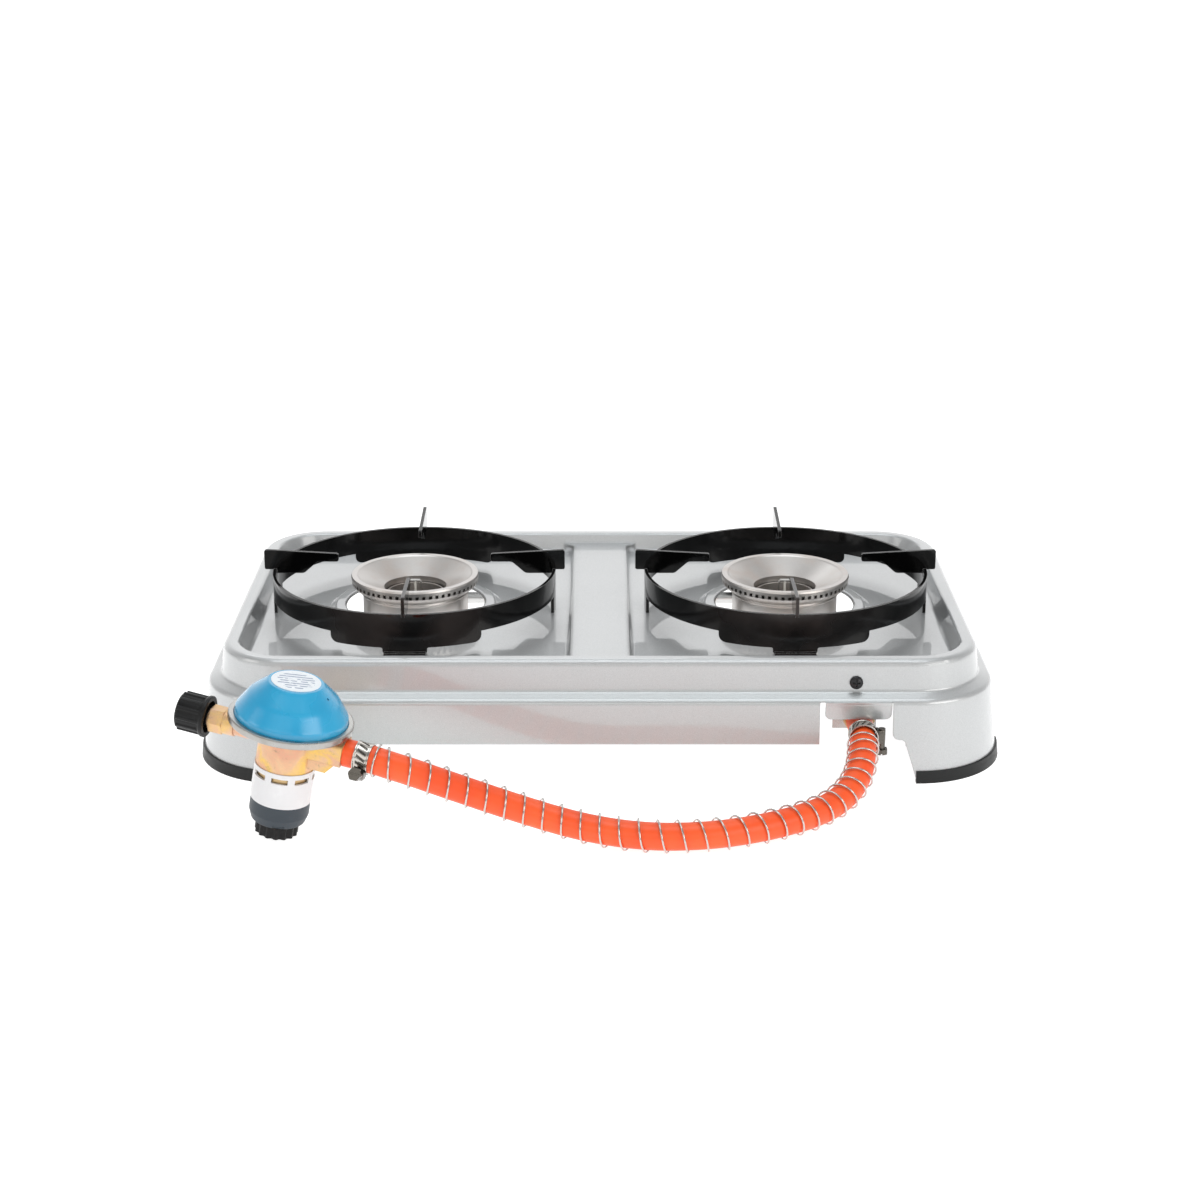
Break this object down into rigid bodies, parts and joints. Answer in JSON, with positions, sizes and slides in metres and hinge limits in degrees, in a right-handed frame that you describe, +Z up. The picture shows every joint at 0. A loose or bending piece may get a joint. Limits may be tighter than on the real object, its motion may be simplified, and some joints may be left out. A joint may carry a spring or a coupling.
{
  "type": "camp stove",
  "caption": "Gas camping stove: pressed grey body with sunken wells, burners under black ring pan supports, control knobs, and a guarded orange hose to a diaphragm regulator.",
  "frame": {"origin": "on the floor, at the middle of the stove's own footprint without the hose and regulator", "axes": "+X along the stove's long side to the right as seen from the knobs, +Y towards the back where the hose leaves, +Z up"},
  "size_m": [0.5026, 0.4336, 0.1019],
  "materials": {
    "body_paint": "satin silver-grey powder paint on pressed steel",
    "trim_rubber": "matt dark grey edge trim",
    "zinc_steel": "zinc-plated steel sheet and screws",
    "black_steel": "black finished screw",
    "aluminium_pipe": "drawn aluminium tube",
    "brass": "turned brass",
    "black_plastic": "moulded black plastic, fine texture",
    "burner_steel": "pressed stainless steel, satin",
    "ceramic": "glazed white ceramic insulator",
    "lead_insulation": "white silicone lead insulation",
    "enamel": "gloss black vitreous enamel on steel strip",
    "chromate": "yellow chromated zinc casting, iridescent",
    "blue_paint": "gloss blue paint",
    "label_film": "white printed film with no wording",
    "diaphragm_rubber": "nitrile rubber",
    "spring_steel": "hard drawn spring wire",
    "white_coat": "gloss white coated collar",
    "grey_plastic": "moulded blue-grey plastic",
    "hose_rubber": "orange gas hose, smooth",
    "clamp_steel": "bright stainless worm-drive band"
  },
  "bodies": {
    "stove": {"body_shell": "body_paint", "foot_trims": "trim_rubber", "inlet_bracket": "zinc_steel", "bracket_screw": "black_steel", "manifold_pipe": "aluminium_pipe", "hose_nozzle": "brass", "nozzle_locknut": "brass", "tap_body_left": "brass", "tap_body_right": "brass", "tap_bonnets": "brass", "injector_jets": "brass", "knob_bezels": "black_plastic", "burner_cup_left": "burner_steel", "burner_cup_right": "burner_steel", "mixing_tube_left": "burner_steel", "mixing_tube_right": "burner_steel", "burner_straps": "zinc_steel", "burner_screws": "zinc_steel", "igniter_electrode_left": "ceramic", "igniter_electrode_right": "ceramic", "ignition_leads": "lead_insulation", "piezo_igniters": "black_plastic", "regulator_body": "chromate", "regulator_dome": "blue_paint", "crimp_ring": "zinc_steel", "regulator_label": "label_film", "diaphragm": "diaphragm_rubber", "pressure_spring": "spring_steel", "spring_seat": "zinc_steel", "inlet_stem": "brass", "inlet_seal": "diaphragm_rubber", "inlet_collar": "white_coat", "grip_ring": "grey_plastic", "outlet_nozzle": "brass", "valve_bonnet": "chromate", "hose": "hose_rubber", "spring_guard": "spring_steel", "hose_clamps": "clamp_steel", "hose_clamp_screws": "clamp_steel"},
    "tap_left": {"tap_plug_left": "brass", "tap_spring_left": "spring_steel"},
    "control_left": {"tap_spindle_left": "zinc_steel", "knob_left": "black_plastic"},
    "support_left": {"pan_support_left": "enamel"},
    "cap_left": {"burner_cap_left": "burner_steel"},
    "tap_right": {"tap_plug_right": "brass", "tap_spring_right": "spring_steel"},
    "control_right": {"tap_spindle_right": "zinc_steel", "knob_right": "black_plastic"},
    "support_right": {"pan_support_right": "enamel"},
    "cap_right": {"burner_cap_right": "burner_steel"},
    "shutoff": {"valve_spindle": "zinc_steel", "valve_knob": "black_plastic"},
    "needle": {"valve_needle": "brass"},
    "coupling": {"star_wheel": "black_plastic"},
    "diaphragm_centre": {"diaphragm_plate": "zinc_steel"},
    "lever": {"valve_lever": "brass", "valve_pad": "diaphragm_rubber"}
  },
  "joints": [
    {"name": "tap_turn_left", "type": "hinge", "parent": "stove", "child": "tap_left", "pos_m": [-0.1222, -0.103, 0.049], "axis": [0, -1, 0], "range_deg": [0, 180]},
    {"name": "knob_push_left", "type": "slide", "parent": "tap_left", "child": "control_left", "axis": [0, 1, 0], "range_m": [0, 0.003], "stiffness_N_per_m": 800, "deforming": ["tap_spring_left"]},
    {"name": "support_lift_left", "type": "slide", "parent": "stove", "child": "support_left", "axis": [0, 0, 1], "range_m": [0, 0.06]},
    {"name": "cap_lift_left", "type": "slide", "parent": "stove", "child": "cap_left", "axis": [0, 0, 1], "range_m": [0, 0.08]},
    {"name": "tap_turn_right", "type": "hinge", "parent": "stove", "child": "tap_right", "pos_m": [0.1222, -0.103, 0.049], "axis": [0, -1, 0], "range_deg": [0, 180]},
    {"name": "knob_push_right", "type": "slide", "parent": "tap_right", "child": "control_right", "axis": [0, 1, 0], "range_m": [0, 0.003], "stiffness_N_per_m": 800, "deforming": ["tap_spring_right"]},
    {"name": "support_lift_right", "type": "slide", "parent": "stove", "child": "support_right", "axis": [0, 0, 1], "range_m": [0, 0.06]},
    {"name": "cap_lift_right", "type": "slide", "parent": "stove", "child": "cap_right", "axis": [0, 0, 1], "range_m": [0, 0.08]},
    {"name": "shutoff_turn", "type": "hinge", "parent": "stove", "child": "shutoff", "pos_m": [0.22586, 0.22476, 0.06977], "axis": [0.9596, -0.2215, 0.1736], "range_deg": [0, 720]},
    {"name": "needle_travel", "type": "slide", "parent": "stove", "child": "needle", "axis": [0.9596, -0.2215, 0.1736], "range_m": [0, 0.002]},
    {"name": "coupling_spin", "type": "hinge", "parent": "stove", "child": "coupling", "pos_m": [0.18665, 0.23381, 0.01008], "axis": [-0.1692, 0.0391, 0.9848], "continuous": true},
    {"name": "diaphragm_travel", "type": "slide", "parent": "stove", "child": "diaphragm_centre", "axis": [-0.1692, 0.0391, 0.9848], "range_m": [-0.001, 0.0005], "stiffness_N_per_m": 2000, "deforming": ["diaphragm", "pressure_spring"]},
    {"name": "lever_swing", "type": "hinge", "parent": "stove", "child": "lever", "pos_m": [0.16539, 0.23872, 0.06472], "axis": [-0.225, -0.9744, 0], "range_deg": [-5, 2.5]}
  ],
  "couplings": [
    {"joint": "shutoff_turn", "follows": "needle_travel", "rad_per_m": 6283.2},
    {"joint": "lever_swing", "follows": "diaphragm_travel", "rad_per_m": 83.33}
  ]
}
